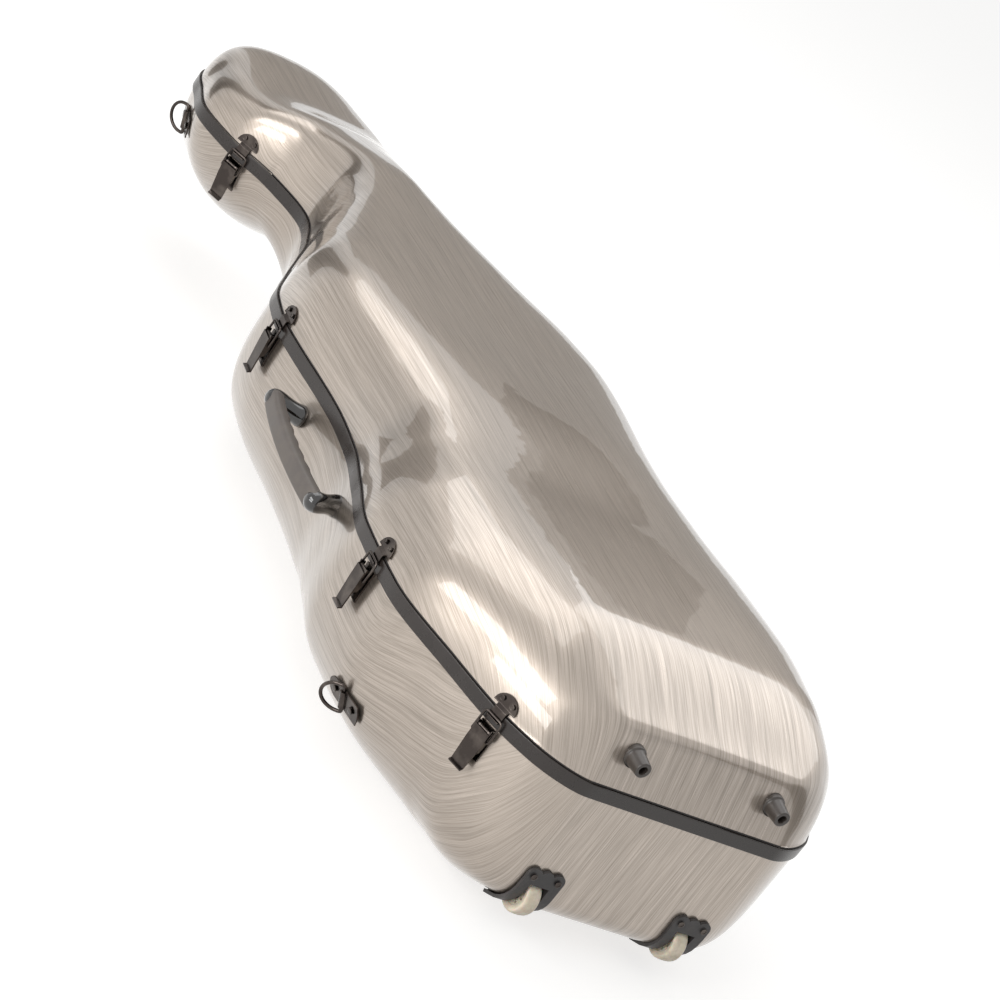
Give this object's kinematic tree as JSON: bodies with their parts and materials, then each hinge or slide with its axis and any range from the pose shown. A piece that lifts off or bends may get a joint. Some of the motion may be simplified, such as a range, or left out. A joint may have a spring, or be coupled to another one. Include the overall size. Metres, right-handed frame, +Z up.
{
  "type": "cello_hard_case",
  "caption": "Cello hard case in brushed silver with draw latches, side handle, corner wheels, feet, strap rings and a padded, fitted interior.",
  "frame": {"origin": "middle of the flat resting face of the back, 430 mm from the base end, where the case lies on its back", "axes": "+X away from the latches towards the hinges, +Y towards the head end, +Z up through the lid"},
  "size_m": [0.5469, 1.373, 0.2993],
  "materials": {
    "brushed_film": "champagne silver film brushed along the case under a clear gloss coat",
    "band_plastic": "satin",
    "seal_rubber": "matt",
    "gunmetal": "dark nickel plate, polished",
    "grip_rubber": "matt, soft touch",
    "gloss_black": "gloss",
    "housing_plastic": "moulded, fine grain",
    "wheel_resin": "milky, slightly translucent",
    "bearing_steel": "turned",
    "foot_plastic": "satin",
    "plush": "short pile",
    "pad_cloth": "short pile over foam",
    "webbing": "woven"
  },
  "bodies": {
    "case_back": {"back_shell": "brushed_film", "back_rim_band": "band_plastic", "back_lining": "plush", "bout_pads": "pad_cloth", "base_pad": "pad_cloth", "neck_cradle": "pad_cloth", "neck_strap": "webbing", "latch_bases": "gunmetal", "latch_base_rivets": "gunmetal", "latch_pivot_pins": "gunmetal", "handle_core": "gunmetal", "handle_grip": "grip_rubber", "handle_elbows": "gloss_black", "handle_bolts": "gunmetal", "strap_brackets": "gunmetal", "strap_bracket_rivets": "gunmetal", "wheel_housings": "housing_plastic", "wheel_housing_screws": "gunmetal", "wheel_axles": "gunmetal", "hinge_back_leaves": "gunmetal", "hinge_back_rivets": "gunmetal", "hinge_pins": "gunmetal"},
    "lid": {"lid_shell": "brushed_film", "lid_gasket": "seal_rubber", "lid_lining": "plush", "lid_pocket": "pad_cloth", "latch_keepers": "gunmetal", "keeper_screws": "gunmetal", "lid_feet": "foot_plastic", "lid_foot_screws": "gunmetal", "hinge_lid_leaves": "gunmetal", "hinge_lid_rivets": "gunmetal", "bow_rests": "pad_cloth"},
    "latch_lever_body_1": {"latch_lever_1": "gunmetal"},
    "latch_lever_body_2": {"latch_lever_2": "gunmetal"},
    "latch_lever_body_3": {"latch_lever_3": "gunmetal"},
    "latch_lever_body_4": {"latch_lever_4": "gunmetal"},
    "latch_bail_body_1": {"latch_bail_1": "gunmetal"},
    "latch_bail_body_2": {"latch_bail_2": "gunmetal"},
    "latch_bail_body_3": {"latch_bail_3": "gunmetal"},
    "latch_bail_body_4": {"latch_bail_4": "gunmetal"},
    "strap_ring_body_1": {"strap_ring_1": "gunmetal"},
    "strap_ring_body_2": {"strap_ring_2": "gunmetal"},
    "strap_ring_body_3": {"strap_ring_3": "gunmetal"},
    "strap_ring_body_4": {"strap_ring_4": "gunmetal"},
    "wheel_left": {"wheel_tyre_left": "wheel_resin", "wheel_hub_left": "wheel_resin", "wheel_bearings_left": "bearing_steel"},
    "wheel_right": {"wheel_tyre_right": "wheel_resin", "wheel_hub_right": "wheel_resin", "wheel_bearings_right": "bearing_steel"},
    "bow_clip_body_1": {"bow_clip_1": "housing_plastic"},
    "bow_clip_body_2": {"bow_clip_2": "housing_plastic"}
  },
  "joints": [
    {"name": "lid_hinge", "type": "hinge", "parent": "case_back", "child": "lid", "pos_m": [0.26553, -0.084, 0.19], "axis": [-0.1285, 0.9917, 0], "range_deg": [0, 105]},
    {"name": "latch_lever_1_pivot", "type": "hinge", "parent": "case_back", "child": "latch_lever_body_1", "pos_m": [-0.21462, -0.36121, 0.169], "axis": [-0.4282, 0.9037, 0], "range_deg": [0, 140]},
    {"name": "latch_lever_2_pivot", "type": "hinge", "parent": "case_back", "child": "latch_lever_body_2", "pos_m": [-0.26827, -0.13759, 0.169], "axis": [0.0547, 0.9985, 0], "range_deg": [0, 140]},
    {"name": "latch_lever_3_pivot", "type": "hinge", "parent": "case_back", "child": "latch_lever_body_3", "pos_m": [-0.21451, 0.2978, 0.169], "axis": [0.1062, 0.9943, 0], "range_deg": [0, 140]},
    {"name": "latch_lever_4_pivot", "type": "hinge", "parent": "case_back", "child": "latch_lever_body_4", "pos_m": [-0.11009, 0.7044, 0.169], "axis": [-0.6131, 0.79, 0], "range_deg": [0, 140]},
    {"name": "latch_bail_1_pivot", "type": "hinge", "parent": "latch_lever_body_1", "child": "latch_bail_body_1", "pos_m": [-0.21423, -0.36103, 0.16001], "axis": [-0.4282, 0.9037, 0], "range_deg": [-168, 0]},
    {"name": "latch_bail_2_pivot", "type": "hinge", "parent": "latch_lever_body_2", "child": "latch_bail_body_2", "pos_m": [-0.26763, -0.13762, 0.16002], "axis": [0.0547, 0.9985, 0], "range_deg": [-168, 0]},
    {"name": "latch_bail_3_pivot", "type": "hinge", "parent": "latch_lever_body_3", "child": "latch_bail_body_3", "pos_m": [-0.21335, 0.29767, 0.16008], "axis": [0.1062, 0.9943, 0], "range_deg": [-168, 0]},
    {"name": "latch_bail_4_pivot", "type": "hinge", "parent": "latch_lever_body_4", "child": "latch_bail_body_4", "pos_m": [-0.10745, 0.70645, 0.16064], "axis": [-0.6131, 0.79, 0], "range_deg": [-168, 0]},
    {"name": "strap_ring_1_bar", "type": "hinge", "parent": "case_back", "child": "strap_ring_body_1", "pos_m": [-0.2416, -0.2004, 0.05863], "axis": [-0.5014, -0.0877, 0.8607], "range_deg": [-30, 125]},
    {"name": "strap_ring_2_bar", "type": "hinge", "parent": "case_back", "child": "strap_ring_body_2", "pos_m": [0.2416, -0.2004, 0.05863], "axis": [0.5014, -0.0877, 0.8607], "range_deg": [-125, 30]},
    {"name": "strap_ring_3_bar", "type": "hinge", "parent": "case_back", "child": "strap_ring_body_3", "pos_m": [-0.11517, 0.83274, 0.1471], "axis": [-0.319, 0.0963, 0.9428], "range_deg": [-30, 125]},
    {"name": "strap_ring_4_bar", "type": "hinge", "parent": "case_back", "child": "strap_ring_body_4", "pos_m": [0.11517, 0.83274, 0.1471], "axis": [0.319, 0.0963, 0.9428], "range_deg": [-125, 30]},
    {"name": "wheel_left_axle", "type": "hinge", "parent": "case_back", "child": "wheel_left", "pos_m": [-0.098, -0.419, 0.044], "axis": [1, 0, 0], "continuous": true},
    {"name": "wheel_right_axle", "type": "hinge", "parent": "case_back", "child": "wheel_right", "pos_m": [0.098, -0.419, 0.044], "axis": [1, 0, 0], "continuous": true},
    {"name": "bow_clip_1_pivot", "type": "hinge", "parent": "lid", "child": "bow_clip_body_1", "pos_m": [-0.075, -0.13, 0.244], "axis": [0, 0, -1], "range_deg": [0, 90]},
    {"name": "bow_clip_2_pivot", "type": "hinge", "parent": "lid", "child": "bow_clip_body_2", "pos_m": [0.075, -0.13, 0.244], "axis": [0, 0, 1], "range_deg": [0, 90]}
  ],
  "couplings": [
    {"joint": "latch_bail_1_pivot", "follows": "latch_lever_1_pivot", "ratio": -1.2},
    {"joint": "latch_bail_2_pivot", "follows": "latch_lever_2_pivot", "ratio": -1.2},
    {"joint": "latch_bail_3_pivot", "follows": "latch_lever_3_pivot", "ratio": -1.2},
    {"joint": "latch_bail_4_pivot", "follows": "latch_lever_4_pivot", "ratio": -1.2}
  ]
}
